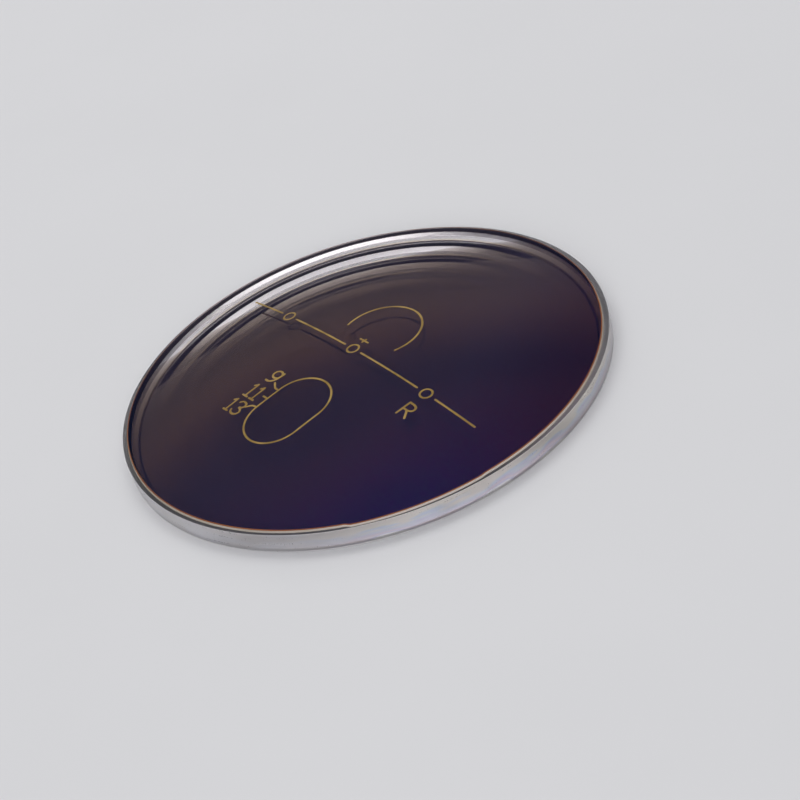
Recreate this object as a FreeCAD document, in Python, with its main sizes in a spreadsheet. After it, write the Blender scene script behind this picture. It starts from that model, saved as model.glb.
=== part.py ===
import FreeCAD, Part
import math
import os

import Sketcher

# Uncut progressive eyeglass lens, right eye, in millimetres.
# The lens lies on its back rim with the convex front up: Z is the geometric axis of the round blank,
# X points to the wearer's nose and Y to the top of the lens. The origin is the centre of the back rim plane.

SHEET = "Sizes"

# One line per driving size: alias, value, what it is. Lengths are in millimetres, angles in degrees.
SIZES = (
    ("blank_diameter", 72.0, "outside diameter of the uncut blank"),
    ("front_radius", 183.0, "radius of curvature of the spherical front"),
    ("back_radius", 131.0, "radius of curvature of the back in the distance zone"),
    ("centre_thickness", 2.35, "thickness on the axis, measured to the plain back sphere"),
    ("back_bevel", 0.25, "safety bevel at the foot of the edge, 45 degrees"),
    ("back_land", 1.25, "flat ring that the lens lies on, inside the safety bevel"),
    ("shoulder_height", 0.3, "steep shoulder that the front face ends in, where it is lowest"),
    ("shoulder_lean", 15.0, "how far the shoulder leans out from upright, degrees"),
    ("ledge_fall", 15.0, "how far the ledge below the shoulder falls from level, degrees"),
    ("face_inset", 0.95, "front face's edge to the edge wall, along the radius, on average"),
    ("face_offset", 0.48, "shift of the front face's round edge off the blank's axis"),
    ("face_offset_bearing", 323.5, "direction of this shift, from +X towards +Y, degrees"),
    ("wide_face_inset", 0.32, "face's edge to the edge wall, over the stretch where it reaches further out"),
    ("wide_face_offset", 0.34, "sideways shift of that stretch's centre, which tapers its ledge"),
    ("wide_face_span", 30.0, "angle that this stretch covers, degrees"),
    ("wide_face_bearing", 336.0, "direction of its middle, from +X towards +Y, degrees"),
    ("wide_face_overlap", 1.0, "angle by which its cut runs into the cut round the rest of the rim"),
    ("cutter_margin", 2.0, "how far a cutting form stands clear of what it cuts"),
    ("prism_point_x", 0.95, "prism reference point, right of the blank's centre"),
    ("prism_point_y", -0.8, "prism reference point, above the blank's centre"),
    ("near_inset", 2.65, "near point, towards the nose from the prism reference point"),
    ("near_drop", 13.8, "near point, below the prism reference point"),
    ("near_reach", 9.5, "distance over which the reading power fades away from the near point"),
    ("addition_power", 2.0, "reading addition, in dioptres"),
    ("resin_index", 1.6, "refractive index of the resin"),
)

# The freeform back is interpolated through this many points each way.
BACK_GRID_POINTS = 25
MM_PER_M = 1000.0

# Expressions that several features share.
BLANK_RADIUS = f"{SHEET}.blank_diameter / 2"
LAND_INNER = f"({BLANK_RADIUS} - {SHEET}.back_bevel - {SHEET}.back_land)"
BACK_RISE = f"({SHEET}.back_radius - sqrt({SHEET}.back_radius ^ 2 - {LAND_INNER} ^ 2))"
APEX_HEIGHT = f"({BACK_RISE} + {SHEET}.centre_thickness)"
FRONT_CENTRE = f"({APEX_HEIGHT} - {SHEET}.front_radius)"


def make_sheet(doc):
    """Write the driving sizes into a spreadsheet, one alias for each."""
    sheet = doc.addObject("Spreadsheet::Sheet", SHEET)
    for row, (alias, value, meaning) in enumerate(SIZES, start=1):
        sheet.set(f"A{row}", alias)
        sheet.set(f"B{row}", str(value))
        sheet.setAlias(f"B{row}", alias)
        sheet.set(f"C{row}", meaning)
    doc.recompute()
    return sheet


def origin_plane(body, role):
    """Find one of the body's own origin planes by its role."""
    return next(feature for feature in body.Origin.OriginFeatures if feature.Role == role)


def front_height_at(radius):
    """Expression for the height of the front sphere at a distance from the axis."""
    return f"({FRONT_CENTRE} + sqrt({SHEET}.front_radius ^ 2 - ({radius}) ^ 2))"


def worked_out(owner, expression):
    """Value of an expression now, as a plain number."""
    return float(owner.evalExpression(expression))


def bind(sketch, kind, points, name, expression):
    """Add a named dimension to a sketch and tie it to the spreadsheet."""
    value = worked_out(sketch, expression)
    index = sketch.addConstraint(Sketcher.Constraint(kind, *points, value))
    sketch.renameConstraint(index, name)
    sketch.setExpression(f"Constraints.{name}", expression)


def join_ends(sketch, count):
    """Join the end of each edge of a closed outline to the start of the next."""
    for index in range(count):
        sketch.addConstraint(Sketcher.Constraint("Coincident", index, 2, (index + 1) % count, 1))


def sketch_on_xz(body, name):
    """Start a sketch on the body's own XZ plane: its X is the body's X, and its Y is the body's Z."""
    sketch = body.newObject("Sketcher::SketchObject", name)
    sketch.AttachmentSupport = [(origin_plane(body, "XZ_Plane"), "")]
    sketch.MapMode = "FlatFace"
    return sketch


def make_blank_section(body, sheet):
    """Half section of the blank before its rim and back are cut: flat foot, edge wall and domed front."""
    sketch = sketch_on_xz(body, "blank_section")

    # The outline is drawn where the dimensions will hold it, so that the solver keeps this arrangement.
    radius = worked_out(sketch, BLANK_RADIUS)
    apex = worked_out(sketch, APEX_HEIGHT)
    centre = worked_out(sketch, FRONT_CENTRE)
    wall_top = worked_out(sketch, front_height_at(BLANK_RADIUS))
    bevel_size = sheet.back_bevel
    corners = ((0, 0), (radius - bevel_size, 0), (radius, bevel_size), (radius, wall_top), (0, apex))
    vectors = [FreeCAD.Vector(x, y, 0) for x, y in corners]
    foot, bevel, wall, dome, axis = range(5)
    for index in (foot, bevel, wall):
        sketch.addGeometry(Part.LineSegment(vectors[index], vectors[index + 1]), False)
    circle = Part.Circle(FreeCAD.Vector(0, centre, 0), FreeCAD.Vector(0, 0, 1), sheet.front_radius)
    rim_angle = math.atan2(wall_top - centre, radius)
    sketch.addGeometry(Part.ArcOfCircle(circle, rim_angle, math.pi / 2), False)
    sketch.addGeometry(Part.LineSegment(vectors[axis], vectors[foot]), False)

    join_ends(sketch, len(corners))
    sketch.addConstraint(Sketcher.Constraint("Coincident", foot, 1, -1, 1))
    sketch.addConstraint(Sketcher.Constraint("Horizontal", foot))
    sketch.addConstraint(Sketcher.Constraint("Vertical", wall))
    sketch.addConstraint(Sketcher.Constraint("Vertical", axis))
    sketch.addConstraint(Sketcher.Constraint("PointOnObject", dome, 3, -2))

    bind(sketch, "DistanceX", (-1, 1, wall, 1), "blank_radius", BLANK_RADIUS)
    bind(sketch, "DistanceX", (bevel, 1, bevel, 2), "bevel_width", f"{SHEET}.back_bevel")
    bind(sketch, "DistanceY", (bevel, 1, bevel, 2), "bevel_height", f"{SHEET}.back_bevel")
    bind(sketch, "DistanceY", (-1, 1, axis, 1), "apex_height", APEX_HEIGHT)
    bind(sketch, "Radius", (dome,), "front_radius", f"{SHEET}.front_radius")
    return sketch


def make_shoulder_section(body, name, inset, bearing, offset, offset_bearing, reach):
    """Section of the cut outside the front face: a steep shoulder, and a ledge that falls to the edge wall.

    The section stands on a plane through an upright axis beside the blank's own. inset is the distance from
    the edge wall to the face, bearing the plane's direction, offset the axis's shift, offset_bearing the
    shift's direction, and reach how far the face's edge then lies from the blank's axis where the shoulder is
    lowest. All are expressions.
    """
    sketch = sketch_on_xz(body, name)
    # The plane turns about its own upright axis, which is Z. Its normal is -Y before the turn.
    sketch.AttachmentOffset = FreeCAD.Placement(
        FreeCAD.Vector(0, 0, 0), FreeCAD.Rotation(FreeCAD.Vector(0, 1, 0), worked_out(sketch, bearing))
    )
    sketch.setExpression("AttachmentOffset.Rotation.Angle", bearing)
    sketch.setExpression("AttachmentOffset.Base.x", f"({offset}) * cos(({offset_bearing}) * 1 deg)")
    sketch.setExpression("AttachmentOffset.Base.z", f"-({offset}) * sin(({offset_bearing}) * 1 deg)")

    # Sizes of the section. The shoulder's line runs on above the face, and the ledge's beyond the edge wall.
    margin = f"{SHEET}.cutter_margin"
    lean = f"tan({SHEET}.shoulder_lean * 1 deg)"
    face_radius = f"({BLANK_RADIUS} - {inset})"
    foot_radius = f"({face_radius} + {SHEET}.shoulder_height * {lean})"
    foot_height = f"({front_height_at(reach)} - {SHEET}.shoulder_height)"
    rise = f"({SHEET}.shoulder_height + {margin})"
    run = f"({rise} * {lean})"
    outer_radius = f"({BLANK_RADIUS} + {margin})"
    drop = f"(({outer_radius} - {foot_radius}) * tan({SHEET}.ledge_fall * 1 deg))"

    foot_x = worked_out(sketch, foot_radius)
    foot_y = worked_out(sketch, foot_height)
    outer = worked_out(sketch, outer_radius)
    roof = foot_y + worked_out(sketch, rise)
    corners = (
        (foot_x - worked_out(sketch, run), roof),
        (foot_x, foot_y),
        (outer, foot_y - worked_out(sketch, drop)),
        (outer, roof),
    )
    shoulder, ledge, outside, top = range(4)
    vectors = [FreeCAD.Vector(x, y, 0) for x, y in corners]
    for index, start in enumerate(vectors):
        sketch.addGeometry(Part.LineSegment(start, vectors[(index + 1) % len(vectors)]), False)
    join_ends(sketch, len(vectors))
    sketch.addConstraint(Sketcher.Constraint("Vertical", outside))
    sketch.addConstraint(Sketcher.Constraint("Horizontal", top))
    bind(sketch, "DistanceX", (-1, 1, shoulder, 2), "foot_radius", foot_radius)
    bind(sketch, "DistanceY", (-1, 1, shoulder, 2), "foot_height", foot_height)
    bind(sketch, "DistanceY", (shoulder, 2, shoulder, 1), "shoulder_rise", rise)
    bind(sketch, "DistanceX", (shoulder, 1, shoulder, 2), "shoulder_run", run)
    bind(sketch, "DistanceX", (-1, 1, ledge, 2), "outer_radius", outer_radius)
    bind(sketch, "DistanceY", (ledge, 2, ledge, 1), "ledge_drop", drop)
    return sketch


def cut_shoulder(doc, body, section, angle):
    """Turn a shoulder section about its own upright axis, half the angle each way, and cut it away."""
    volume_before = body.Shape.Volume
    groove = body.newObject("PartDesign::Groove", section.Name.replace("section", "shoulder"))
    groove.Profile = section
    groove.ReferenceAxis = (section, ["V_Axis"])
    groove.Midplane = True
    groove.setExpression("Angle", angle)
    doc.recompute()
    if not groove.Shape.Volume < volume_before:
        raise RuntimeError(f"{groove.Name} removed nothing")


def make_blank(doc, sheet):
    """Turn the blank, then cut the shoulder round its rim.

    The front mould sat a little off the blank's axis, so the face's round edge is shifted: the ledge outside it
    is widest, and its shoulder highest, on the side opposite the shift. Over one stretch the face reaches
    further out, and its edge is an arc about another centre, so the ledge there starts almost closed and
    widens.
    """
    body = doc.addObject("PartDesign::Body", "turned_blank")
    section = make_blank_section(body, sheet)
    turned = body.newObject("PartDesign::Revolution", "turned_form")
    turned.Profile = section
    turned.ReferenceAxis = (section, ["V_Axis"])
    turned.Angle = 360.0
    doc.recompute()

    bearing = f"{SHEET}.wide_face_bearing"
    span = f"{SHEET}.wide_face_span"
    rim = make_shoulder_section(
        body,
        "rim_section",
        f"{SHEET}.face_inset",
        f"{bearing} - 180",
        f"{SHEET}.face_offset",
        f"{SHEET}.face_offset_bearing",
        f"({BLANK_RADIUS} - {SHEET}.face_inset + {SHEET}.face_offset)",
    )
    cut_shoulder(doc, body, rim, f"360 - {span}")
    stretch = make_shoulder_section(
        body,
        "stretch_section",
        f"{SHEET}.wide_face_inset",
        bearing,
        f"{SHEET}.wide_face_offset",
        f"{bearing} - 90",
        f"({BLANK_RADIUS} - {SHEET}.wide_face_inset)",
    )
    cut_shoulder(doc, body, stretch, f"{span} + 2 * {SHEET}.wide_face_overlap")
    return body


def back_height(sheet, x, y):
    """Height of the finished back surface above the rim plane.

    It is the back sphere, less a smooth hollow of the form exp(-d^2 / 2 r^2) about the near point, where d is
    the distance from that point and r the reach. The hollow's curvature at its centre is the reading addition
    divided by the index less one, so the lens grows thicker and stronger there, and the hollow fades to
    almost nothing at the rim.
    """
    land_inner = sheet.blank_diameter / 2 - sheet.back_bevel - sheet.back_land
    rise = sheet.back_radius - math.sqrt(sheet.back_radius**2 - land_inner**2)
    sphere = rise - sheet.back_radius + math.sqrt(sheet.back_radius**2 - x**2 - y**2)
    near_x = sheet.prism_point_x + sheet.near_inset
    near_y = sheet.prism_point_y - sheet.near_drop
    curvature = sheet.addition_power / (sheet.resin_index - 1) / MM_PER_M
    depth = curvature * sheet.near_reach**2
    distance_squared = (x - near_x) ** 2 + (y - near_y) ** 2
    return sphere - depth * math.exp(-distance_squared / (2 * sheet.near_reach**2))


def make_back_form(doc, sheet):
    """Solid below the freeform back surface: what the generator grinds away from the blank's underside."""
    half_side = sheet.blank_diameter / 2 + sheet.cutter_margin
    steps = [2 * index / (BACK_GRID_POINTS - 1) - 1 for index in range(BACK_GRID_POINTS)]
    rows = [
        [
            FreeCAD.Vector(u * half_side, v * half_side, back_height(sheet, u * half_side, v * half_side))
            for v in steps
        ]
        for u in steps
    ]
    surface = Part.BSplineSurface()
    surface.interpolate(rows)
    depth = sheet.cutter_margin - back_height(sheet, half_side, half_side)
    rise = back_height(sheet, 0, 0)
    form = doc.addObject("Part::Feature", "back_form")
    form.Label = "back_form"
    form.Shape = surface.toShape().extrude(FreeCAD.Vector(0, 0, -depth - rise))
    form.Placement = FreeCAD.Placement()
    return form


def make_lens(doc, sheet):
    """Cut the freeform back into the blank, which leaves the flat land at its rim."""
    lens = doc.addObject("Part::Cut", "lens_blank")
    lens.Label = "lens_blank"
    lens.Base = make_blank(doc, sheet)
    lens.Tool = make_back_form(doc, sheet)
    doc.recompute()
    if not lens.Shape.Volume < lens.Base.Shape.Volume:
        raise RuntimeError("the back surface removed nothing")
    return lens


def check_and_export(doc, pieces):
    """Refuse any failed object or bad shape, then write one STEP file for each piece."""
    for item in doc.Objects:
        if "Invalid" in item.State or "Error" in item.State:
            raise RuntimeError(f"{item.Name} failed: {item.State}")
    for piece in pieces:
        if piece.Shape.isNull() or not piece.Shape.isValid() or len(piece.Shape.Solids) != 1:
            raise RuntimeError(f"{piece.Label} is not one valid solid")
    os.makedirs("parts", exist_ok=True)
    for piece in pieces:
        piece.Shape.exportStep(os.path.join("parts", f"{piece.Label}.step"))
        box = piece.Shape.BoundBox
        print(
            f"{piece.Label}: {box.XLength:.2f} x {box.YLength:.2f} x {box.ZLength:.2f} mm, "
            f"{piece.Shape.Volume:.0f} mm3, {len(piece.Shape.Faces)} faces"
        )


def main():
    """Build the lens and write it out."""
    doc = FreeCAD.newDocument("eyeglass_lens")
    sheet = make_sheet(doc)
    lens = make_lens(doc, sheet)
    check_and_export(doc, [lens])


main()
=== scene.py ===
"""Looks of one round, uncut progressive eyeglass lens with its stamped layout marks.

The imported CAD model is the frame. Lengths below are in millimetres unless a name says metres, and turn into
metres in one place, where a mesh is made. +Z runs along the blank's axis towards the domed front, +X towards
the nose and +Y towards the top of the lens.
"""

import logging
import math
from dataclasses import dataclass
from dataclasses import field
from enum import Enum

import bpy
import numpy as np
from mathutils import Matrix
from mathutils import Vector


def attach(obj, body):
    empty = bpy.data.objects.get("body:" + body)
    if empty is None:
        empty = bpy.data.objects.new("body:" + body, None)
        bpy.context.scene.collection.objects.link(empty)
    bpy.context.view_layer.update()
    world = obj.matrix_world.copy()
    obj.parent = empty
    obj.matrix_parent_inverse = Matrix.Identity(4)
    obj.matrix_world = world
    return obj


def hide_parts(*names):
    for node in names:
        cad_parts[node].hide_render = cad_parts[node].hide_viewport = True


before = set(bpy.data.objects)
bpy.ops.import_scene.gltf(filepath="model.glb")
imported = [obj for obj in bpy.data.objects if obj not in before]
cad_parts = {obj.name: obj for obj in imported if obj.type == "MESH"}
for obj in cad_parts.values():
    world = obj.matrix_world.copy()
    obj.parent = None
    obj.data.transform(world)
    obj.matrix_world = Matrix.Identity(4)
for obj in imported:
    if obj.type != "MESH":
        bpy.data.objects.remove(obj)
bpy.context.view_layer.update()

LOG = logging.getLogger("eyeglass_lens")
METRES_PER_MM = 0.001
LENS_NODE = "lens_blank"
BODY = "root"
# Places across the lens between which the coated faces' painted tints change: painted reflection colours, and
# on the hollow side painted darkness.
PAINTED_LIGHT_PLACES = ("Outer", "Middle", "Nose", "Rim")
Socket = bpy.types.NodeSocket


def from_screen(red: float, green: float, blue: float) -> tuple:
    """Turns a screen colour into the linear colour that a shader socket takes.

    Args:
        red: Red from 0 to 255, as a picture shows it.
        green: Green from 0 to 255.
        blue: Blue from 0 to 255.

    Returns:
        Linear red, green, blue and an alpha of 1.
    """
    level = np.array([red, green, blue], float) / 255.0
    linear = np.where(level <= 0.04045, level / 12.92, ((level + 0.055) / 1.055) ** 2.4)
    return (*linear.tolist(), 1.0)


class Strip(Enum):
    """The parts of the lens surface that have a finish of their own, in the order of its material slots."""

    FACE = 0
    EDGE_LINE = 1
    SHOULDER = 2
    LEDGE = 3
    WALL = 4
    FOOT = 5
    LAND = 6
    HOLLOW = 7


@dataclass(frozen=True)
class LensSizes:
    """Sizes of the blank, the same named values as the solid's. Angles are polar ones, in radians."""

    radius: float = 36.0
    front_radius: float = 183.0
    back_radius: float = 131.0
    centre_thickness: float = 2.35
    back_bevel: float = 0.25
    back_land: float = 1.25
    shoulder_height: float = 0.3
    shoulder_lean: float = 15.0
    ledge_fall: float = 15.0
    face_inset: float = 0.95
    face_offset: float = 0.48
    face_offset_bearing: float = 323.5
    wide_face_inset: float = 0.32
    wide_face_offset: float = 0.34
    wide_face_bearing: float = 336.0
    wide_face_span: float = 30.0
    kink_ease: float = 1.8
    near_point: tuple = (3.6, -14.6)
    near_depth: float = 0.3008
    near_reach: float = 9.5
    ink_height: float = 0.012

    @property
    def land_radius(self) -> float:
        """Radius at which the hollow side would meet the land without the near zone."""
        return self.radius - self.back_bevel - self.back_land

    @property
    def back_rise(self) -> float:
        """Height of the hollow side at the axis."""
        return self.back_radius - math.sqrt(self.back_radius**2 - self.land_radius**2)

    @property
    def apex(self) -> float:
        """Height of the domed front at the axis."""
        return self.back_rise + self.centre_thickness

    def front(self, radius: np.ndarray) -> np.ndarray:
        """Height of the domed front: apex - R + sqrt(R^2 - r^2), lowered by the ink's height.

        The ink then stands up to the CAD model's own height and no further.
        """
        sphere = self.apex - self.front_radius + np.sqrt(self.front_radius**2 - radius**2)
        return sphere - self.ink_height

    def back(self, x: np.ndarray, y: np.ndarray) -> np.ndarray:
        """Height of the hollow side: a sphere's cap minus a Gaussian well where the near zone is cut deeper.

        Args:
            x: Places towards the nose.
            y: Places towards the top of the lens.

        Returns:
            The heights: rise - R + sqrt(R^2 - x^2 - y^2) - depth exp(-d^2 / (2 reach^2)).
        """
        sphere = self.back_rise - self.back_radius + np.sqrt(self.back_radius**2 - x**2 - y**2)
        away = (x - self.near_point[0]) ** 2 + (y - self.near_point[1]) ** 2
        return sphere - self.near_depth * np.exp(-away / (2.0 * self.near_reach**2))

    def back_at(self, radius: np.ndarray, angle: np.ndarray) -> np.ndarray:
        """Height of the hollow side at a distance from the axis and a polar angle."""
        return self.back(radius * np.cos(angle), radius * np.sin(angle))

    def shifted_circle(self, angle: np.ndarray, rho: float, offset: float, bearing: float) -> np.ndarray:
        """Distance from the axis to a circle about another centre.

        A ray from the axis meets it at c.u + sqrt(rho^2 - |c|^2 + (c.u)^2), where c is the circle's shift, u
        the ray's direction and rho the circle's radius.

        Args:
            angle: Polar angles in radians.
            rho: The circle's radius.
            offset: How far its centre is from the axis.
            bearing: The centre's direction in degrees.

        Returns:
            The distances.
        """
        along = offset * np.cos(angle - math.radians(bearing))
        return along + np.sqrt(rho**2 - offset**2 + along**2)

    def wide_share(self, angle: np.ndarray) -> np.ndarray:
        """Share of the wide stretch's own edge at each angle: 1 inside it, 0 outside, eased at its ends."""
        turn = np.mod(angle - math.radians(self.wide_face_bearing) + math.pi, 2.0 * math.pi) - math.pi
        half = math.radians(self.wide_face_span) / 2.0
        share = np.clip((half - np.abs(turn)) / math.radians(self.kink_ease) + 0.5, 0.0, 1.0)
        return share**2 * (3.0 - 2.0 * share)

    def face_edge(self, angle: np.ndarray) -> np.ndarray:
        """Radius of the front face's edge: a shifted circle, and another one over the wide stretch."""
        plain = self.shifted_circle(
            angle, self.radius - self.face_inset, self.face_offset, self.face_offset_bearing
        )
        wide = self.shifted_circle(
            angle, self.radius - self.wide_face_inset, self.wide_face_offset, self.wide_face_bearing - 90.0
        )
        return plain + (wide - plain) * self.wide_share(angle)

    def shoulder_foot(self, angle: np.ndarray) -> np.ndarray:
        """Height of the shoulder's foot, which is level, and lowest where the edge is furthest."""
        plain = self.front(np.array(self.radius - self.face_inset + self.face_offset)) - self.shoulder_height
        wide = self.front(np.array(self.radius - self.wide_face_inset)) - self.shoulder_height
        return plain + (wide - plain) * self.wide_share(angle)


def unit(vectors: np.ndarray) -> np.ndarray:
    """Vectors along the last axis, brought to a length of 1."""
    return vectors / np.linalg.norm(vectors, axis=-1, keepdims=True)


def metres(points: np.ndarray) -> np.ndarray:
    """Millimetres to metres, ready for a mesh."""
    return np.ascontiguousarray(points, np.float64) * METRES_PER_MM


def fill_mesh(name: str, points: np.ndarray, faces: list) -> bpy.types.Mesh:
    """Makes a mesh from whole arrays of points and faces.

    Args:
        name: The mesh's name.
        points: Places in millimetres, one row a point.
        faces: Arrays of point numbers, one row a face, each array with its own number of corners.

    Returns:
        The mesh, all its faces smooth.
    """
    mesh = bpy.data.meshes.new(name)
    corner_counts = np.concatenate([np.full(len(part), part.shape[1]) for part in faces])
    corners = np.concatenate([part.ravel() for part in faces]).astype(np.int32)
    starts = np.concatenate([[0], np.cumsum(corner_counts)[:-1]]).astype(np.int32)
    mesh.vertices.add(len(points))
    mesh.vertices.foreach_set("co", metres(points).astype(np.float32).ravel())
    mesh.loops.add(len(corners))
    mesh.loops.foreach_set("vertex_index", corners)
    mesh.polygons.add(len(starts))
    mesh.polygons.foreach_set("loop_start", starts)
    mesh.polygons.foreach_set("use_smooth", np.ones(len(starts), bool))
    mesh.update(calc_edges=True)
    mesh.validate()
    return mesh


def show(data: bpy.types.ID) -> bpy.types.Object:
    """Puts a mesh, a lamp or a camera into the scene, as an object of the same name at the origin.

    Args:
        data: The finished mesh, or the lamp's or camera's data.

    Returns:
        The object.
    """
    shown = bpy.data.objects.new(data.name, data)
    bpy.context.scene.collection.objects.link(shown)
    return shown


class Nodes:
    """Places and joins the nodes of one material or one node group."""

    def __init__(self, tree: bpy.types.NodeTree) -> None:
        """Keeps the tree that the nodes go into."""
        self.tree = tree

    def add(self, kind: str, **settings: object) -> bpy.types.Node:
        """Adds a node.

        Args:
            kind: The node type's name after ShaderNode, or a whole type name.
            settings: Properties to set on it.

        Returns:
            The node.
        """
        node = self.tree.nodes.new(kind if kind.startswith("Node") else f"ShaderNode{kind}")
        for name, value in settings.items():
            setattr(node, name, value)
        return node

    def join(self, source: Socket, target: Socket) -> None:
        """Joins an output to an input."""
        self.tree.links.new(source, target)

    def feed(self, target: Socket, value: object) -> None:
        """Joins a socket to an input, or sets the input to a plain value."""
        if isinstance(value, Socket):
            self.join(value, target)
        else:
            target.default_value = value

    def place(self) -> Socket:
        """Gives the object's own coordinates in metres."""
        return self.add("TexCoord").outputs["Object"]

    def math(self, operation: str, *values: object) -> Socket:
        """Adds a Math node.

        Args:
            operation: The operation's name.
            values: Its inputs, sockets or numbers.

        Returns:
            Its output.
        """
        node = self.add("Math", operation=operation)
        self.fill(node, dict(enumerate(values)))
        return node.outputs[0]

    def mix(self, factor: object, first: object, second: object) -> Socket:
        """Mixes two colours.

        Args:
            factor: Share of the second colour.
            first: The first colour.
            second: The second colour.

        Returns:
            The mixed colour.
        """
        node = self.add("Mix", data_type="RGBA")
        self.fill(node, {"Factor": factor, 6: first, 7: second})
        return node.outputs[2]

    def swing(self, noise: Socket, reach: float, middle: float = 0.0) -> Socket:
        """Lets a value swing about a middle as a noise does: middle + reach (noise - 0.5)."""
        return self.math("MULTIPLY_ADD", noise, reach, middle - 0.5 * reach)

    def split(self, vector: Socket) -> bpy.types.NodeOutputs:
        """Splits coordinates into X, Y and Z."""
        node = self.add("SeparateXYZ")
        self.join(vector, node.inputs[0])
        return node.outputs

    def fill(self, node: bpy.types.Node, values: dict) -> None:
        """Joins or sets several inputs of a node, each by its name or number."""
        for name, value in values.items():
            self.feed(node.inputs[name], value)

    def combine(self, *parts: object) -> Socket:
        """Makes coordinates from their parts, with 0 for those that aren't given."""
        node = self.add("CombineXYZ")
        self.fill(node, dict(enumerate(parts)))
        return node.outputs[0]

    def along(self, place: Socket, degrees: float) -> Socket:
        """Turns places about the blank's axis and takes their X.

        Args:
            place: Coordinates in metres.
            degrees: The turn.

        Returns:
            The distance along X after the turn.
        """
        turn = self.add("Mapping", vector_type="POINT")
        self.fill(turn, {"Vector": place, "Rotation": (0.0, 0.0, math.radians(degrees))})
        return self.split(turn.outputs["Vector"])["X"]

    def bump(self, height: Socket, strength: float, relief: float, shader: bpy.types.Node) -> None:
        """Lets a height raise a shader's surface.

        Args:
            height: The height, about 0.5 on average.
            strength: How much of it shows.
            relief: How far it raises the surface, in millimetres.
            shader: The shader.
        """
        node = self.add("Bump")
        self.fill(node, {"Strength": strength, "Distance": relief * METRES_PER_MM, "Height": height})
        self.join(node.outputs["Normal"], shader.inputs["Normal"])

    def ramp(self, value: object, low: float, high: float) -> Socket:
        """Runs smoothly from 0 to 1 while a value goes from low to high.

        Args:
            value: The value.
            low: Where the result is 0.
            high: Where the result is 1.

        Returns:
            The eased share.
        """
        node = self.add("MapRange", interpolation_type="SMOOTHSTEP")
        self.fill(node, {"Value": value, "From Min": low, "From Max": high})
        return node.outputs["Result"]

    def noise(self, place: Socket, size: tuple, detail: float = 3.0) -> Socket:
        """Adds a noise whose features have a given size along each axis.

        Args:
            place: Coordinates in metres.
            size: Feature sizes in millimetres along x, y and z.
            detail: How many finer layers it has.

        Returns:
            The noise, about 0.5 on average.
        """
        stretch = self.add("Mapping", vector_type="POINT")
        self.fill(stretch, {"Vector": place, "Scale": [1.0 / (METRES_PER_MM * length) for length in size]})
        node = self.add("TexNoise", noise_dimensions="3D")
        self.fill(node, {"Vector": stretch.outputs["Vector"], "Scale": 1.0, "Detail": detail})
        return node.outputs["Fac"]


def new_material(name: str) -> tuple:
    """Makes a material.

    Args:
        name: The material's name.

    Returns:
        The material, its nodes' helper and its shader.
    """
    material = bpy.data.materials.new(name)
    material.use_nodes = True
    return material, Nodes(material.node_tree), material.node_tree.nodes["Principled BSDF"]


def new_group(name: str, inputs: list, outputs: list) -> tuple:
    """Makes a shader node group with named sockets.

    Args:
        name: The group's name.
        inputs: Pairs of a name and a default: a number, or a colour with four parts.
        outputs: Pairs of a name and a kind: Float or Color.

    Returns:
        The group, its nodes' helper, its input node and its output node.
    """
    group = bpy.data.node_groups.new(name, "ShaderNodeTree")
    for label, default in inputs:
        kind = "NodeSocketColor" if isinstance(default, tuple) else "NodeSocketFloat"
        group.interface.new_socket(label, in_out="INPUT", socket_type=kind).default_value = default
    for label, kind in outputs:
        group.interface.new_socket(label, in_out="OUTPUT", socket_type=f"NodeSocket{kind}")
    nodes = Nodes(group)
    return group, nodes, nodes.add("NodeGroupInput"), nodes.add("NodeGroupOutput")


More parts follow.
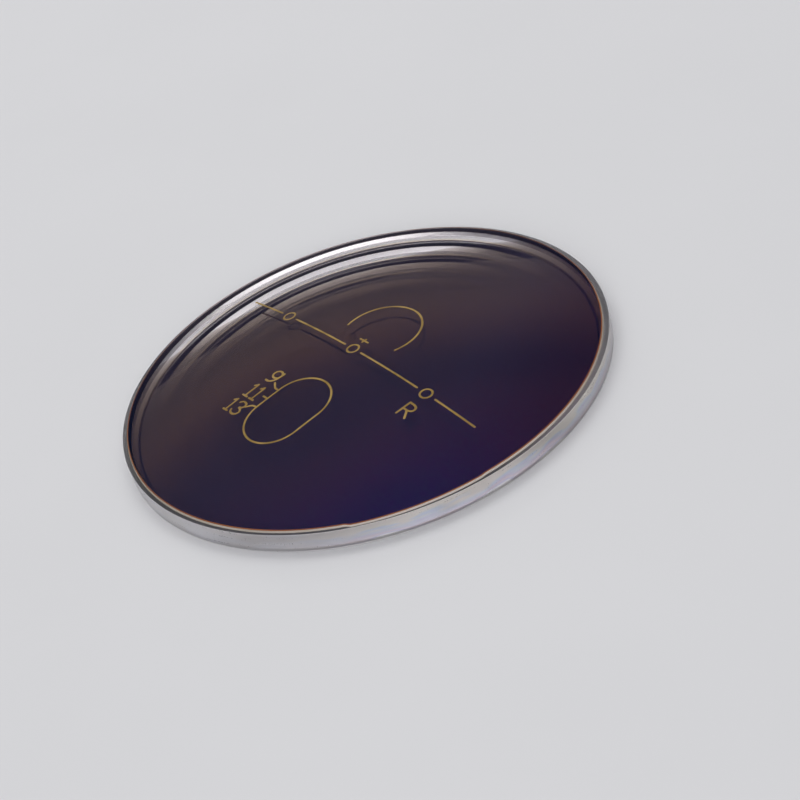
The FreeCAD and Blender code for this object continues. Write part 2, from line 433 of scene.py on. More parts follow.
class SharedEffects:
    """Node groups that several finishes use, each with its own values.

    The sizes of their patterns are in millimetres, the places where the painted reflection tints change in
    metres and the turns in degrees.
    """

    line_size: tuple = (9.0, 9.0, 0.12)
    grit_size: tuple = (0.16, 0.16, 0.16)
    patch_size: tuple = (7.0, 7.0, 1.6)
    patch_span: tuple = (0.36, 0.64)
    # The cloud, turns and spans below place the coated faces' painted reflection gradient.
    cloud_size: tuple = (26.0, 26.0, 26.0)
    cloud_reach: float = 0.012
    nose_turn: float = 10.0
    rim_turn: float = -32.0
    middle_span: tuple = (-0.026, 0.012)
    nose_span: tuple = (0.002, 0.036)
    rim_span: tuple = (0.016, 0.037)
    swirl_size: tuple = (14.0, 5.0, 14.0)
    wiped_span: tuple = (0.52, 0.78)

    def __init__(self) -> None:
        """Builds the groups once."""
        self.grain = self._ground_grain()
        # Painted reflection gradient of the coated faces.
        self.drift = self._painted_reflex_drift()
        self.wear = self._handling_wear()

    def _ground_grain(self) -> bpy.types.NodeTree:
        """Fine ground texture of the rim: round grit with lines that run round the blank.

        Returns:
            A group that takes how much of the pattern is lines and gives a height and a soft patch mask.
        """
        group, nodes, given, result = new_group(
            "ground_grain", [("Lines", 0.5)], [("Height", "Float"), ("Patches", "Float")]
        )
        place = nodes.place()
        x, y, z = nodes.split(place)
        reach = nodes.add("VectorMath", operation="LENGTH")
        nodes.join(nodes.combine(x, y), reach.inputs[0])
        down = nodes.math("ADD", reach.outputs["Value"], nodes.math("MULTIPLY", z, -1.0))
        round_about = nodes.combine(x, y, down)
        lines = nodes.noise(round_about, self.line_size, 2.0)
        grit = nodes.noise(place, self.grit_size, 2.0)
        height = nodes.add("Mix", data_type="FLOAT")
        nodes.fill(height, {"Factor": given.outputs["Lines"], 2: grit, 3: lines})
        patches = nodes.ramp(nodes.noise(round_about, self.patch_size, 2.0), *self.patch_span)
        nodes.fill(result, {"Height": height.outputs[0], "Patches": patches})
        return group

    def _painted_reflex_drift(self) -> bpy.types.NodeTree:
        """Painted reflection: a slow change of colour across the lens, from one side to the other and into
        one stretch of rim, that stands in for the coating's coloured reflex of its surroundings.

        Returns:
            A group that takes three painted reflection colours across the lens and one for the rim, and gives
            the painted colour.
        """
        clear = (1.0, 1.0, 1.0, 1.0)
        group, nodes, given, result = new_group(
            "painted_reflex_drift", [(label, clear) for label in PAINTED_LIGHT_PLACES], [("Tint", "Color")]
        )
        place = nodes.place()
        outer, middle, nose, rim = (given.outputs[label] for label in PAINTED_LIGHT_PLACES)
        cloud = nodes.swing(nodes.noise(place, self.cloud_size, 1.0), self.cloud_reach)
        to_nose = nodes.math("ADD", nodes.along(place, self.nose_turn), cloud)
        first = nodes.mix(nodes.ramp(to_nose, *self.middle_span), outer, middle)
        second = nodes.mix(nodes.ramp(to_nose, *self.nose_span), first, nose)
        to_rim = nodes.ramp(nodes.along(place, self.rim_turn), *self.rim_span)
        nodes.join(nodes.mix(to_rim, second, rim), result.inputs["Tint"])
        return group

    def _handling_wear(self) -> bpy.types.NodeTree:
        """Faint wipe marks that handling leaves on a polished face.

        Returns:
            A group that takes a base roughness and how much wear adds, and gives the roughness.
        """
        group, nodes, given, result = new_group(
            "handling_wear", [("Base", 0.02), ("Wear", 0.05)], [("Roughness", "Float")]
        )
        place = nodes.place()
        wiped = nodes.ramp(nodes.noise(place, self.swirl_size, 4.0), *self.wiped_span)
        added = nodes.math("MULTIPLY", wiped, given.outputs["Wear"])
        nodes.join(nodes.math("ADD", given.outputs["Base"], added), result.inputs["Roughness"])
        return group


@dataclass(frozen=True)
class CoatedFace:
    """A polished, coated face of clear resin, which passes light and has a faint violet reflex.

    Its four tints are screen colours, in the order Outer, Middle, Nose, Rim. They are painted light: the
    coating's reflection colours painted into the base colour, and on the hollow side painted darkness of dark
    surroundings seen through the clear resin.
    """

    name: str
    painted_light_tints: tuple
    roughness: float = 0.0
    wear: float = 0.035
    index: float = 1.6
    film_thickness: float = 165.0
    film_index: float = 1.25

    def material(self, effects: SharedEffects) -> bpy.types.Material:
        """Builds the finish.

        Args:
            effects: The shared node groups.

        Returns:
            The material.
        """
        material, nodes, shader = new_material(self.name)
        # Painted reflection gradient, with painted darkness on the hollow side, for the base colour.
        drift = nodes.add("Group", node_tree=effects.drift)
        for label, tint in zip(PAINTED_LIGHT_PLACES, self.painted_light_tints):
            drift.inputs[label].default_value = from_screen(*tint)
        wear = nodes.add("Group", node_tree=effects.wear)
        nodes.fill(wear, {"Base": self.roughness, "Wear": self.wear})
        values = {
            "Base Color": drift.outputs["Tint"],
            "Roughness": wear.outputs["Roughness"],
            "IOR": self.index,
            "Transmission Weight": 1.0,
            "Thin Film Thickness": self.film_thickness,
            "Thin Film IOR": self.film_index,
        }
        nodes.fill(shader, values)
        return material


@dataclass(frozen=True)
class GroundRim:
    """A ground or turned part of the rim: milky resin with fine lines and soft patches of colour.

    Its tones are pairs of a height in millimetres and the screen colour there. Where it has a plain tone, the
    tones show only towards one side of the blank, and the plain one everywhere else; this paints one side
    lighter or darker, as painted light.
    """

    name: str
    tones: tuple
    patch: tuple
    patch_share: float
    transmission: float
    roughness: float
    waver: float = 0.0
    plain: tuple | None = None
    painted_side_bearing: float = -2.0
    painted_side_from: float = 0.021
    painted_side_full: float = 0.033
    lines: float = 0.6
    relief: float = 0.006
    relief_strength: float = 0.5
    roughness_swing: float = 0.04
    index: float = 1.6

    def material(self, effects: SharedEffects) -> bpy.types.Material:
        """Builds the finish.

        Args:
            effects: The shared node groups.

        Returns:
            The material.
        """
        material, nodes, shader = new_material(self.name)
        grain = nodes.add("Group", node_tree=effects.grain)
        grain.inputs["Lines"].default_value = self.lines
        place = nodes.place()
        drift = nodes.swing(grain.outputs["Patches"], self.waver)
        level = nodes.math("MULTIPLY_ADD", nodes.split(place)["Z"], 1.0 / METRES_PER_MM, drift)
        # Colour by height up the strip, shifted by the patches; on the wall these bands are painted
        # reflections, with a painted highlight at the foot.
        low = self.tones[0][0]
        high = self.tones[-1][0]
        spread = nodes.add("MapRange")
        nodes.fill(spread, {"Value": level, "From Min": low, "From Max": high})
        tones = nodes.add("ValToRGB")
        nodes.join(spread.outputs["Result"], tones.inputs["Fac"])
        stops = tones.color_ramp.elements
        while len(stops) < len(self.tones):
            stops.new(0.5)
        for stop, (height, tone) in zip(stops, self.tones):
            stop.position = (height - low) / (high - low)
            stop.color = from_screen(*tone)
        tone = tones.outputs["Color"]
        # Painted light by side: towards one bearing the height tones show, the plain tone elsewhere.
        if self.plain:
            ahead = nodes.along(place, -self.painted_side_bearing)
            side = nodes.ramp(ahead, self.painted_side_from, self.painted_side_full)
            tone = nodes.mix(side, from_screen(*self.plain), tone)
        share = nodes.math("MULTIPLY", grain.outputs["Patches"], self.patch_share)
        values = {
            "Base Color": nodes.mix(share, tone, from_screen(*self.patch)),
            "Roughness": nodes.swing(grain.outputs["Height"], self.roughness_swing, self.roughness),
            "IOR": self.index,
            "Transmission Weight": self.transmission,
        }
        nodes.fill(shader, values)
        nodes.bump(grain.outputs["Height"], self.relief_strength, self.relief, shader)
        return material


@dataclass(frozen=True)
class StampedInk:
    """Thin gold stamping ink, satin, a little uneven in tone and with a fine grain."""

    name: str = "gold_layout_ink"
    bright: tuple = from_screen(174, 144, 76)
    deep: tuple = from_screen(142, 114, 52)
    tone_size: float = 2.4
    tone_span: tuple = (0.35, 0.65)
    grain_size: float = 0.09
    roughness: float = 0.42
    roughness_swing: float = 0.2
    relief: float = 0.004
    relief_strength: float = 0.4
    metallic: float = 0.35

    def material(self) -> bpy.types.Material:
        """Builds the finish."""
        material, nodes, shader = new_material(self.name)
        place = nodes.place()
        tone = nodes.ramp(nodes.noise(place, (self.tone_size,) * 3), *self.tone_span)
        grain = nodes.noise(place, (self.grain_size,) * 3, 2.0)
        values = {
            "Base Color": nodes.mix(tone, self.deep, self.bright),
            "Roughness": nodes.swing(grain, self.roughness_swing, self.roughness),
            "Metallic": self.metallic,
        }
        nodes.fill(shader, values)
        nodes.bump(grain, self.relief_strength, self.relief, shader)
        return material


WHITE = (240, 238, 238)
CREAM = (238, 232, 220)
LAVENDER = (204, 200, 226)
ICE = (204, 218, 236)
ROSE = (226, 208, 216)
FINISHES = {
    # The front's tints are painted reflection colours across the lens.
    Strip.FACE: CoatedFace(
        "coated_front_painted_reflex", ((238, 228, 232), (230, 224, 238), (216, 214, 242), (230, 206, 228))
    ),
    Strip.EDGE_LINE: GroundRim(
        "amber_edge_line",
        tones=((3.0, (118, 60, 20)), (3.8, (128, 66, 22))),
        patch=(150, 90, 36), patch_share=0.5, transmission=0.0, roughness=0.6,
    ),
    Strip.SHOULDER: GroundRim(
        "pale_shoulder",
        tones=((3.1, (214, 200, 174)), (3.6, (220, 206, 182))),
        patch=(210, 200, 184), patch_share=0.6, transmission=0.65, roughness=0.3,
    ),
    # The ledge is painted dark towards one side, a painted shade of the dark inside of the lens, and painted
    # near-white elsewhere, a painted light for where it is seen lit from inside.
    Strip.LEDGE: GroundRim(
        "ledge_painted_by_side",
        tones=((3.0, (58, 60, 66)), (3.3, (64, 66, 72))),
        patch=(236, 234, 238), patch_share=0.06, transmission=1.0, roughness=0.7,
        plain=(248, 248, 250), painted_side_bearing=-50.0, painted_side_from=0.012, painted_side_full=0.028,
    ),
    # The wall's bands, white at the foot, then lavender, rose, ice and cream upwards, are painted reflections
    # of light inside the lens and a painted highlight line at the foot; they show towards one side,
    # near-white plain elsewhere.
    Strip.WALL: GroundRim(
        "ground_edge_wall_painted_reflex",
        tones=(
            (0.2, WHITE), (0.42, WHITE), (0.62, LAVENDER), (1.0, ROSE), (1.35, LAVENDER), (1.75, ICE),
            (2.15, CREAM), (3.2, CREAM),
        ),
        patch=(228, 220, 214), patch_share=0.35, transmission=0.7, roughness=0.28,
        waver=0.9, plain=(240, 239, 246), relief=0.0004,
    ),
    Strip.FOOT: GroundRim(
        "white_back_bevel",
        tones=((0.0, WHITE), (0.3, WHITE)),
        patch=(236, 234, 240), patch_share=0.3, transmission=0.0, roughness=0.5,
    ),
    # The land's dark tones are painted darkness, standing in for dark surroundings seen through it between
    # the bright rim bands.
    Strip.LAND: GroundRim(
        "land_painted_dark",
        tones=((0.0, (74, 70, 76)), (0.3, (80, 76, 82))),
        patch=(88, 84, 90), patch_share=0.5, transmission=1.0, roughness=0.2,
    ),
    # The hollow side's dark tints are painted darkness that stands in for dark surroundings seen through the
    # clear lens, with painted reflection colours, deep maroon at the rim.
    Strip.HOLLOW: CoatedFace(
        "coated_hollow_painted_dark",
        ((54, 46, 52), (66, 58, 74), (42, 40, 70), (52, 26, 44)),
        film_thickness=189.0,
    ),
}


@dataclass
class LensBody:
    """The whole lens as one closed surface: domed face, stepped rim, ground wall and freeform hollow side."""

    sizes: LensSizes = field(default_factory=LensSizes)
    angles: int = 450
    kink_angles: int = 14
    face_rings: int = 62
    hollow_rings: int = 62
    edge_line: float = 0.14
    edge_line_rings: tuple = (0.35, 0.7)
    corner_rings: int = 4
    corner_rounds: tuple = (0.05, 0.05, 0.06, 0.05, 0.05, 0.06)
    fine_reach: float = 0.6
    fine_margin: float = 0.3
    newton_steps: int = 6

    def bearings(self) -> np.ndarray:
        """Polar angles of the mesh: even steps, and fine ones at both ends of the wide stretch.

        Returns:
            The sorted angles in radians.
        """
        even = np.arange(self.angles) * (360.0 / self.angles)
        ends = self.sizes.wide_face_bearing + self.sizes.wide_face_span * np.array([-0.5, 0.5])
        reach = self.fine_reach * self.sizes.kink_ease
        fine = (ends[:, None] + np.linspace(-reach, reach, self.kink_angles)[None, :]).ravel()
        near = np.abs(even[:, None] - ends[None, :]).min(axis=1) < reach + self.fine_margin
        return np.radians(np.sort(np.concatenate([even[~near], np.mod(fine, 360.0)])))

    def hollow_edge(self, angle: np.ndarray) -> np.ndarray:
        """Radius at which the hollow side comes down to the land, found with Newton's steps."""
        radius = np.full_like(angle, self.sizes.land_radius)
        step = 1e-4
        for _ in range(self.newton_steps):
            here = self.sizes.back_at(radius, angle)
            ahead = self.sizes.back_at(radius + step, angle)
            radius = radius - here * step / (ahead - here)
        return radius

    def corners(self, angle: np.ndarray) -> list:
        """Corner points of the half section at each angle, from the face's edge down to the hollow side.

        Args:
            angle: Polar angles in radians.

        Returns:
            Six arrays of radius and height: face edge, shoulder foot, ledge end, wall foot, land outside and
            land inside.
        """
        sizes = self.sizes
        edge = sizes.face_edge(angle)
        top = sizes.front(edge)
        foot_height = sizes.shoulder_foot(angle)
        foot = edge + (top - foot_height) * math.tan(math.radians(sizes.shoulder_lean))
        ledge_end = foot_height - (sizes.radius - foot) * math.tan(math.radians(sizes.ledge_fall))
        outer = np.full_like(angle, sizes.radius)
        zero = np.zeros_like(angle)
        return [
            np.stack([edge, top], -1),
            np.stack([foot, foot_height], -1),
            np.stack([outer, ledge_end], -1),
            np.stack([outer, zero + sizes.back_bevel], -1),
            np.stack([outer - sizes.back_bevel, zero], -1),
            np.stack([self.hollow_edge(angle), zero], -1),
        ]

    def rings(self, angle: np.ndarray) -> tuple:
        """Rings of the surface from the front's middle, over the rim, to the middle of the hollow side.

        Each corner C is rounded by the curve (1-t)^2 A + 2t(1-t) C + t^2 B, with A and B a little way from C
        on the two sides that meet there.

        Args:
            angle: Polar angles in radians.

        Returns:
            Points and directions along the section, both rings x angles x (radius, height), and for each gap
            between rings the strip that it belongs to.
        """
        corners = self.corners(angle)
        points = []
        slopes = []
        strips = []

        def put(point: np.ndarray, slope: np.ndarray, strip: Strip) -> None:
            """Adds one ring and the strip that follows it."""
            points.append(point)
            slopes.append(slope)
            strips.append(strip.value)

        edge = corners[0][:, 0]
        shares = np.linspace(0.0, 1.0, self.face_rings + 1)[1:]
        face = [(edge - self.edge_line) * share for share in shares]
        line = [edge - self.edge_line * (1.0 - share) for share in self.edge_line_rings]
        for number, radius in enumerate(face + line):
            fall = -radius / np.sqrt(self.sizes.front_radius**2 - radius**2)
            slope = np.stack([np.ones_like(radius), fall], -1)
            strip = Strip.FACE if number < self.face_rings - 1 else Strip.EDGE_LINE
            put(np.stack([radius, self.sizes.front(radius)], -1), slope, strip)
        sides = [
            (Strip.EDGE_LINE, Strip.SHOULDER, 3),
            (Strip.SHOULDER, Strip.LEDGE, 5),
            (Strip.WALL, Strip.WALL, 16),
            (Strip.FOOT, Strip.FOOT, 3),
            (Strip.LAND, Strip.LAND, 4),
            (Strip.HOLLOW, Strip.HOLLOW, 1),
        ]
        start_slope = slopes[-1]
        for number, corner in enumerate(corners):
            around, after, count = sides[number]
            size = self.corner_rounds[number]
            before = -unit(start_slope)
            if number < len(corners) - 1:
                ahead = corners[number + 1] - corner
            else:
                radius = corner[:, 0] - size
                ahead = np.stack([radius, self.sizes.back_at(radius, angle)], -1) - corner
            ahead = unit(ahead)
            first = corner + before * size
            last = corner + ahead * size
            for share in np.linspace(0.0, 1.0, self.corner_rings + 1):
                point = (1 - share) ** 2 * first + 2 * share * (1 - share) * corner + share**2 * last
                slope = (1 - share) * (corner - first) + share * (last - corner)
                put(point, slope, around if share < 1.0 else after)
            if number < len(corners) - 1:
                end = corners[number + 1] - ahead * self.corner_rounds[number + 1]
                for share in np.linspace(0.0, 1.0, count + 1)[1:-1]:
                    put(last + (end - last) * share, ahead, after)
            start_slope = ahead
        inner = points[-1][:, 0]
        step = 1e-3
        for share in np.linspace(1.0, 0.0, self.hollow_rings + 1)[1:-1]:
            radius = inner * share
            height = self.sizes.back_at(radius, angle)
            rise = self.sizes.back_at(radius - step, angle) - height
            slope = np.stack([np.full_like(radius, -step), rise], -1)
            put(np.stack([radius, height], -1), slope, Strip.HOLLOW)
        return np.stack(points), np.stack(slopes), np.array(strips)

    def build(self, effects: SharedEffects) -> bpy.types.Object:
        """Makes the closed mesh with its normals and finishes, in place of the CAD node.

        The normal at a point is the cross product of the direction along the section and the direction
        round the blank.

        Args:
            effects: The shared node groups.

        Returns:
            The piece.
        """
        angle = self.bearings()
        section, slope, strips = self.rings(angle)
        cosine = np.cos(angle)
        sine = np.sin(angle)

        def turned(pair: np.ndarray) -> np.ndarray:
            """Swings pairs of radius and height out to their angles."""
            return np.stack([pair[..., 0] * cosine, pair[..., 0] * sine, pair[..., 1]], -1)

        grid = turned(section)
        wrapped = np.concatenate([grid[:, -1:], grid, grid[:, :1]], axis=1)
        normals = unit(np.cross(turned(slope), wrapped[:, 2:] - wrapped[:, :-2]))
        ring_count, angle_count = section.shape[:2]
        front_pole = np.array([[0.0, 0.0, float(self.sizes.front(np.zeros(1))[0])]])
        back_pole = np.array([[0.0, 0.0, float(self.sizes.back(np.zeros(1), np.zeros(1))[0])]])
        points = np.concatenate([grid.reshape(-1, 3), front_pole, back_pole])
        directions = np.concatenate([normals.reshape(-1, 3), [[0.0, 0.0, 1.0]], [[0.0, 0.0, -1.0]]])
        index = np.arange(ring_count * angle_count).reshape(ring_count, angle_count)
        onward = np.roll(index, -1, axis=1)
        quads = np.stack([index[:-1], index[1:], onward[1:], onward[:-1]], -1).reshape(-1, 4)
        front_number = ring_count * angle_count
        front_fan = np.stack([np.full(angle_count, front_number), index[0], onward[0]], -1)
        back_fan = np.stack([index[-1], np.full(angle_count, front_number + 1), onward[-1]], -1)
        mesh = fill_mesh("lens_body", points, [quads, front_fan, back_fan])
        poles = np.repeat([Strip.FACE.value, Strip.HOLLOW.value], angle_count)
        slots = np.concatenate([np.repeat(strips[:-1], angle_count), poles])
        for strip in Strip:
            mesh.materials.append(FINISHES[strip].material(effects))
        mesh.polygons.foreach_set("material_index", slots.astype(np.int32))
        mesh.normals_split_custom_set_from_vertices(directions.tolist())
        piece = show(mesh)
        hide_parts(LENS_NODE)
        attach(piece, BODY)
        return piece


@dataclass(frozen=True)
class Stroke:
    """One stamped line: points joined by straight runs, with soft corners, or closed into a loop."""

    points: tuple
    closed: bool = False
    width: float = 0.32


def circle_stroke(u: float, v: float, radius: float, start: float = 0.0, end: float = 360.0) -> Stroke:
    """A stroke along a circle: centre + radius (cos a, sin a), with points about 0.25 mm apart.

    Args:
        u: The centre towards the nose.
        v: The centre towards the top.
        radius: The circle's radius.
        start: Angle at which it starts, in degrees.
        end: Angle at which it ends.

    Returns:
        The stroke, closed where it goes the whole way round.
    """
    whole = end - start >= 360.0
    steps = max(8, int(abs(end - start) * radius / 14.0))
    angle = np.radians(np.linspace(start, end, steps, endpoint=not whole))
    points = np.stack([u + radius * np.cos(angle), v + radius * np.sin(angle)], -1)
    return Stroke(tuple(map(tuple, points)), whole)


GLYPH_RUNS = {
    "1": (
        ((0.22, 0.80), (0.40, 0.86), (0.56, 1.0), (0.56, 0.5), (0.56, 0.0)),
        ((0.22, 0.0), (0.90, 0.0)),
    ),
    "3": (
        (
            (0.10, 0.84), (0.22, 0.97), (0.48, 1.0), (0.76, 0.92), (0.82, 0.74), (0.68, 0.58), (0.42, 0.53),
            (0.72, 0.48), (0.92, 0.30), (0.82, 0.08), (0.50, -0.02), (0.20, 0.04), (0.06, 0.20),
        ),
    ),
    "9": (((0.90, 0.96), (0.90, 0.70), (0.84, 0.42), (0.66, 0.16), (0.40, 0.02), (0.10, 0.04)),),
    "R": (
        ((0.06, 0.0), (0.06, 0.5), (0.06, 1.0)),
        ((0.06, 1.0), (0.52, 1.0), (0.82, 0.92), (0.92, 0.74), (0.82, 0.56), (0.52, 0.48), (0.06, 0.48)),
        ((0.48, 0.48), (0.72, 0.24), (0.95, 0.0)),
    ),
}


@dataclass
class LayoutMarks:
    """The gold layout marks on the front: circles, dashes, cross, distance arch, near zone and scale."""

    sizes: LensSizes = field(default_factory=LensSizes)
    origin: tuple = (0.95, -0.8)
    circle_spacing: float = 17.0
    circle_radius: float = 0.9
    arch_radius: float = 6.04
    arch_centre: float = 5.12
    arch_foot: float = 3.3
    near_centre: float = 2.63
    near_radius: float = 4.8
    near_top: float = -11.78
    near_bottom: float = -15.78
    dashes: tuple = ((-27.1, -19.0), (-15.0, -1.95), (1.95, 15.0), (19.0, 27.1))
    glyphs: tuple = (
        ("9", -6.4, -11.65, 2.2, 2.45),
        ("1", -6.95, -15.4, 1.5, 2.7),
        ("1", -5.35, -15.4, 1.5, 2.7),
        ("1", -7.25, -18.8, 1.4, 2.55),
        ("3", -5.7, -18.8, 2.1, 2.55),
        ("R", 16.55, -5.0, 1.95, 2.5),
    )
    glyph_line: float = 0.34
    ink_root: float = 0.01
    tip_share: float = 0.0004
    wavers: tuple = ((0.05, 1.7, 1.0), (0.04, 4.3, 2.0))
    step: float = 0.12

    def glyph(self, name: str, left: float, bottom: float, width: float, height: float) -> list:
        """Strokes of one plain letter or digit, drawn in a unit box and fitted to its place.

        The bowl of the 9 is a closed loop: (0.5 + 0.38 cos a, 0.7 + 0.3 sin a).

        Args:
            name: The letter or digit.
            left: Its left side.
            bottom: Its lower side.
            width: Its width.
            height: Its height.

        Returns:
            The strokes.
        """
        runs = [(run, False) for run in GLYPH_RUNS[name]]
        if name == "9":
            turn = np.linspace(0, 2 * math.pi, 22)[:-1]
            runs.insert(0, ([(0.5 + 0.38 * math.cos(a), 0.70 + 0.30 * math.sin(a)) for a in turn], True))
        return [
            Stroke(tuple((left + x * width, bottom + y * height) for x, y in run), closed, self.glyph_line)
            for run, closed in runs
        ]

    def strokes(self) -> list:
        """All strokes of the stamp, measured from the middle reference circle."""
        gap = self.circle_spacing
        left = self.near_centre - self.near_radius
        found = [circle_stroke(place, 0.0, self.circle_radius) for place in (-gap, 0.0, gap)]
        for start, end in self.dashes:
            found.append(Stroke(((start, 0.0), (0.5 * (start + end), 0.0), (end, 0.0))))
        found.append(Stroke(((-0.95, 2.1), (0.85, 2.1))))
        found.append(Stroke(((-0.05, 1.75), (-0.05, 2.45))))
        dip = math.degrees(math.asin((self.arch_foot - self.arch_centre) / self.arch_radius))
        found.append(circle_stroke(0.0, self.arch_centre, self.arch_radius, dip, 180.0 - dip))
        upper = circle_stroke(self.near_centre, self.near_top, self.near_radius, 0.0, 180.0).points
        lower = circle_stroke(self.near_centre, self.near_bottom, self.near_radius, 180.0, 360.0).points
        found.append(Stroke(upper + lower, True))
        found.append(Stroke(((left, -12.0), (-3.0, -12.0), (-3.45, -11.75), (-4.1, -11.3))))
        found.append(Stroke(((left, -14.0), (-3.2, -14.0))))
        found.append(Stroke(((left, -16.0), (-2.9, -16.05), (-3.3, -16.3), (-3.75, -16.85))))
        for glyph in self.glyphs:
            found += self.glyph(*glyph)
        return found

    def path(self, stroke: Stroke) -> np.ndarray:
        """Even points along a stroke, with its corners softened as wet ink softens them.

        The run is resampled at even steps, and each point then moves to a weighted mean of its neighbours.

        Args:
            stroke: The stroke.

        Returns:
            The points, one row each.
        """
        points = np.array(stroke.points, float)
        if stroke.closed:
            points = np.concatenate([points, points[:1]])
        reach = np.concatenate([[0.0], np.cumsum(np.linalg.norm(np.diff(points, axis=0), axis=1))])
        count = max(6, int(round(reach[-1] / self.step)))
        at = np.linspace(0.0, reach[-1], count, endpoint=not stroke.closed)
        even = np.stack([np.interp(at, reach, points[:, 0]), np.interp(at, reach, points[:, 1])], -1)
        for _ in range(2):
            if stroke.closed:
                even = 0.25 * np.roll(even, 1, 0) + 0.5 * even + 0.25 * np.roll(even, -1, 0)
            else:
                even[1:-1] = 0.25 * even[:-2] + 0.5 * even[1:-1] + 0.25 * even[2:]
        return even

    def ribbon(self, stroke: Stroke, seed: int) -> tuple:
        """A closed, crowned ribbon of ink along one stroke, laid on the domed front.

        Across the line the height is that of the ink times sqrt(1 - w^4), with the underside ink_root below
        the face. Its ends are half circles. Each of the wavers is a sine along it, given as a share of its
        width, radians per millimetre and a shift that grows with the seed.

        Args:
            stroke: The stroke.
            seed: Sets where its width wavers.

        Returns:
            The points and a list with its quads and its end faces.
        """
        path = self.path(stroke)
        half = stroke.width / 2.0
        if stroke.closed:
            ahead = np.roll(path, -1, 0) - np.roll(path, 1, 0)
        else:
            ahead = np.gradient(path, axis=0)
            ends = np.array([0.0, 0.12, 0.35, 0.7])
            run = unit(ahead[[0, -1]])
            head = path[0] - run[0] * half * (1.0 - ends[:, None])
            tail = path[-1] + run[1] * half * (1.0 - ends[::-1, None])
            path = np.concatenate([head, path, tail])
            first = np.repeat(run[:1], len(ends), 0)
            last = np.repeat(run[1:], len(ends), 0)
            ahead = np.concatenate([first, ahead, last])
        ahead = unit(ahead)
        side = np.stack([-ahead[:, 1], ahead[:, 0]], -1)
        place = np.arange(len(path)) * self.step
        if stroke.closed:
            place = np.sin(np.arange(len(path)) / len(path) * 2.0 * math.pi) * 3.0
        waver = 1.0
        for share, pace, shift in self.wavers:
            waver = waver + share * np.sin(pace * place + shift * seed)
        spread = half * waver
        if not stroke.closed:
            share = np.concatenate([ends, np.ones(len(path) - 2 * len(ends)), ends[::-1]])
            spread = spread * np.sqrt(np.clip(1.0 - (1.0 - share) ** 2, self.tip_share, 1.0))
        over = np.array([-1.0, -0.9, -0.5, 0.0, 0.5, 0.9, 1.0])
        across = np.concatenate([over, [0.5, 0.0, -0.5]])
        rise = np.full(len(across), -self.ink_root)
        rise[1 : len(over) - 1] = np.sqrt(1.0 - over[1:-1] ** 4) * self.sizes.ink_height
        flat = path[:, None, :] + side[:, None, :] * (spread[:, None, None] * across[None, :, None])
        flat = flat + np.array(self.origin)
        height = self.sizes.front(np.hypot(flat[..., 0], flat[..., 1])) + rise[None, :]
        grid = np.concatenate([flat, height[..., None]], -1)
        rows, columns = grid.shape[:2]
        index = np.arange(rows * columns).reshape(rows, columns)
        round_about = np.roll(index, -1, axis=1)
        last = slice(None) if stroke.closed else slice(None, -1)
        ahead_index = np.roll(index, -1, axis=0)[last]
        ahead_round = np.roll(round_about, -1, axis=0)[last]
        quads = np.stack([index[last], round_about[last], ahead_round, ahead_index], -1).reshape(-1, 4)
        caps = [] if stroke.closed else [index[:1, ::-1], index[-1:]]
        return grid.reshape(-1, 3), [quads] + caps

    def build(self) -> bpy.types.Object:
        """Makes all marks as one piece on the domed front.

        Returns:
            The piece.
        """
        points = []
        faces = []
        offset = 0
        for seed, stroke in enumerate(self.strokes()):
            ribbon_points, ribbon_faces = self.ribbon(stroke, seed)
            points.append(ribbon_points)
            faces += [part + offset for part in ribbon_faces]
            offset += len(ribbon_points)
        mesh = fill_mesh("layout_marks", np.concatenate(points), faces)
        mesh.materials.append(StampedInk().material())
        piece = show(mesh)
        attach(piece, BODY)
        return piece


@dataclass(frozen=True)
class SoftLamp:
    """One soft rectangular lamp that looks at the lens, fades towards its sides and isn't mirrored."""

    name: str
    bearing: float
    rise: float
    distance: float
    width: float
    height: float
    radiance: float

    def fade(self, light: bpy.types.Light) -> None:
        """Lets the lamp's face fade from its middle: s(1 - |2u-1|) s(1 - |2v-1|), where s is a smooth step.

        Args:
            light: The lamp's data.
        """
        light.use_nodes = True
        nodes = Nodes(light.node_tree)
        emission = light.node_tree.nodes["Emission"]
        place = nodes.split(nodes.add("NewGeometry").outputs["Parametric"])
        sides = []
        for axis in ("X", "Y"):
            away = nodes.math("MULTIPLY_ADD", place[axis], 2.0, -1.0)
            sides.append(nodes.ramp(nodes.math("ABSOLUTE", away), 1.0, 0.0))
        nodes.join(nodes.math("MULTIPLY", sides[0], sides[1]), emission.inputs["Strength"])

    def build(self) -> None:
        """Makes the lamp. Its power is radiance x pi x area, so that its face has that radiance."""
        light = bpy.data.lights.new(self.name, "AREA")
        light.shape = "RECTANGLE"
        light.size = self.width
        light.size_y = self.height
        light.energy = self.radiance * math.pi * self.width * self.height
        self.fade(light)
        lamp = show(light)
        bearing = math.radians(self.bearing)
        rise = math.radians(self.rise)
        way = Vector((math.cos(rise) * math.cos(bearing), math.cos(rise) * math.sin(bearing), math.sin(rise)))
        lamp.rotation_euler = way.to_track_quat("Z", "Y").to_euler()
        lamp.location = way * self.distance
        lamp.visible_camera = False
        lamp.visible_glossy = False


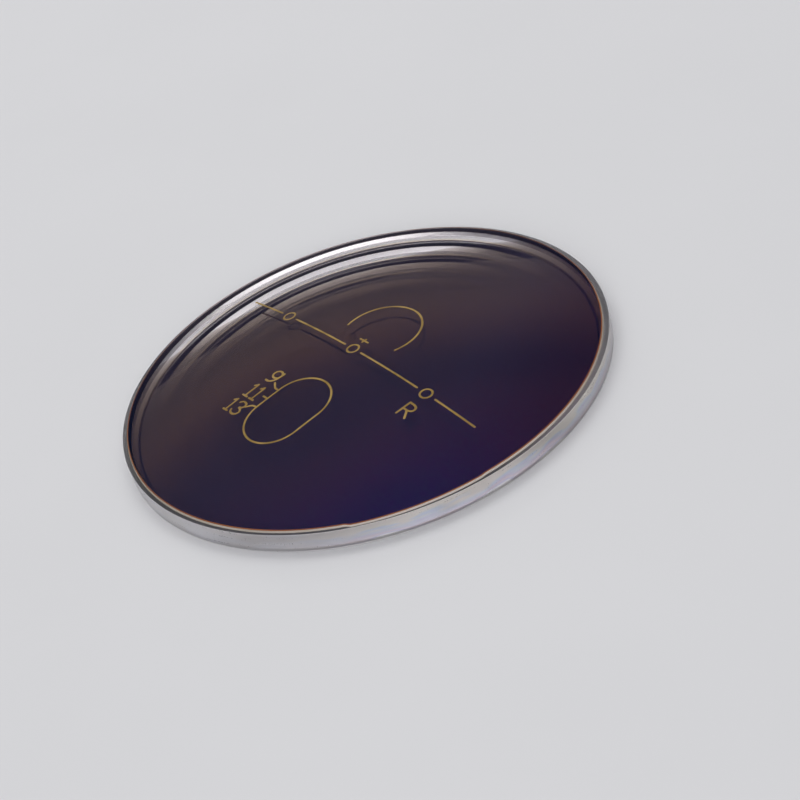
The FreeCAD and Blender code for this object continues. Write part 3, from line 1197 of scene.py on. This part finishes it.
@dataclass
class Studio:
    """A plain pale floor, soft lamps and the camera at the photograph's viewing angle.

    Light goes to and fro inside the lens up to internal_bounces times, so that its far wall shows in it three
    times as it does in clear resin.
    """

    floor_half: float = 3.0
    floor_colour: tuple = from_screen(217, 217, 219)
    floor_roughness: float = 0.75
    mottle_size: float = 40.0
    mottle_shade: float = 0.965
    world_colour: tuple = (0.43, 0.43, 0.44, 1.0)
    camera_place: tuple = (193.213, -92.380, 141.903)
    camera_aim: tuple = (7.935, 0.162, 0.0)
    camera_roll: float = -18.599
    focal_length: float = 80.2
    sensor_width: float = 36.0
    clip_start: float = 0.005
    internal_bounces: int = 16
    lamps: tuple = (
        SoftLamp("front_softbox", -70.0, 60.0, 0.9, 0.9, 0.9, 0.3),
        SoftLamp("low_softbox", -36.0, 24.0, 0.8, 1.1, 0.5, 5.2),
        SoftLamp("high_softbox", 155.0, 70.0, 0.9, 1.8, 0.9, 3.0),
        SoftLamp("rear_softbox", 158.0, 32.0, 0.7, 1.7, 0.5, 0.8),
    )

    def build_floor(self) -> None:
        """Makes the floor: a level sheet with a very slight mottle."""
        half = self.floor_half / METRES_PER_MM
        side = np.linspace(-half, half, 9)
        x, y = np.meshgrid(side, side, indexing="ij")
        points = np.stack([x.ravel(), y.ravel(), np.zeros(x.size)], -1)
        index = np.arange(x.size).reshape(x.shape)
        quads = np.stack([index[:-1, :-1], index[1:, :-1], index[1:, 1:], index[:-1, 1:]], -1).reshape(-1, 4)
        mesh = fill_mesh("studio_floor", points, [quads])
        material, nodes, shader = new_material("pale_floor")
        mottle = nodes.noise(nodes.place(), (self.mottle_size,) * 3)
        darker = tuple(self.mottle_shade * part for part in self.floor_colour[:3]) + (1.0,)
        colour = nodes.mix(mottle, darker, self.floor_colour)
        nodes.fill(shader, {"Base Color": colour, "Roughness": self.floor_roughness})
        mesh.materials.append(material)
        show(mesh)

    def build_world(self) -> None:
        """Gives the room an even soft light."""
        world = bpy.data.worlds.new("soft_room")
        world.use_nodes = True
        values = {"Color": self.world_colour, "Strength": 1.0}
        Nodes(world.node_tree).fill(world.node_tree.nodes["Background"], values)
        bpy.context.scene.world = world

    def build_camera(self) -> None:
        """Sets the camera. It looks at its aim, and turns about that line by its roll."""
        place = Vector(self.camera_place) * METRES_PER_MM
        forward = (Vector(self.camera_aim) * METRES_PER_MM - place).normalized()
        level = forward.cross(Vector((0.0, 0.0, 1.0))).normalized()
        rise = level.cross(forward)
        roll = math.radians(self.camera_roll)
        right = math.cos(roll) * level + math.sin(roll) * rise
        up = math.cos(roll) * rise - math.sin(roll) * level
        turn = Matrix((right, up, -forward)).transposed()
        camera = bpy.data.cameras.new("photo_camera")
        camera.lens = self.focal_length
        camera.sensor_width = self.sensor_width
        camera.clip_start = self.clip_start
        view = show(camera)
        view.matrix_world = Matrix.Translation(place) @ turn.to_4x4()
        bpy.context.scene.camera = view

    def build(self) -> None:
        """Makes the whole studio."""
        self.build_camera()
        self.build_floor()
        self.build_world()
        for lamp in self.lamps:
            lamp.build()
        scene = bpy.context.scene
        scene.view_settings.view_transform = "Standard"
        scene.cycles.glossy_bounces = self.internal_bounces
        scene.cycles.transmission_bounces = self.internal_bounces
        scene.cycles.max_bounces = self.internal_bounces


def main() -> None:
    """Builds the studio, the lens and its marks."""
    logging.basicConfig(level=logging.INFO, format="%(name)s: %(message)s")
    Studio().build()
    effects = SharedEffects()
    for piece in (LensBody().build(effects), LayoutMarks().build()):
        LOG.info("%s: %d points, %d faces", piece.name, len(piece.data.vertices), len(piece.data.polygons))


if __name__ == "__main__":
    main()
